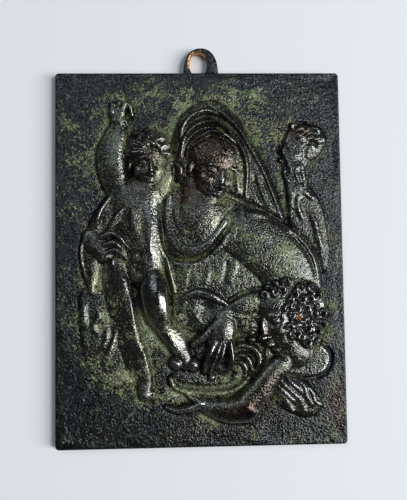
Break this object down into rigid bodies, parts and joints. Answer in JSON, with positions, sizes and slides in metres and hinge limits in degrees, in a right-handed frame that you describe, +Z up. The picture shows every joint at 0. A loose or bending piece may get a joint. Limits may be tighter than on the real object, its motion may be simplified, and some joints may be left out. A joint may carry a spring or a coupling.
{
  "type": "relief plaque",
  "caption": "Upright rectangular cast bronze plaque with a devotional figure group in low relief and a hanging loop on its top edge.",
  "frame": {"origin": "the point that bears on a nail or cord: top of the loop's hole, on the plane of the plate's flat back", "axes": "+Z up along the plate's height, +X to the viewer's right, +Y into the wall; the carved front faces -Y"},
  "size_m": [0.1, 0.0109, 0.1392],
  "materials": {
    "bronze": "dark brown-black patina with grey-green bloom, rubbed bright on the highest forms"
  },
  "bodies": {
    "root": {"relief_plaque": "bronze"}
  },
  "joints": []
}
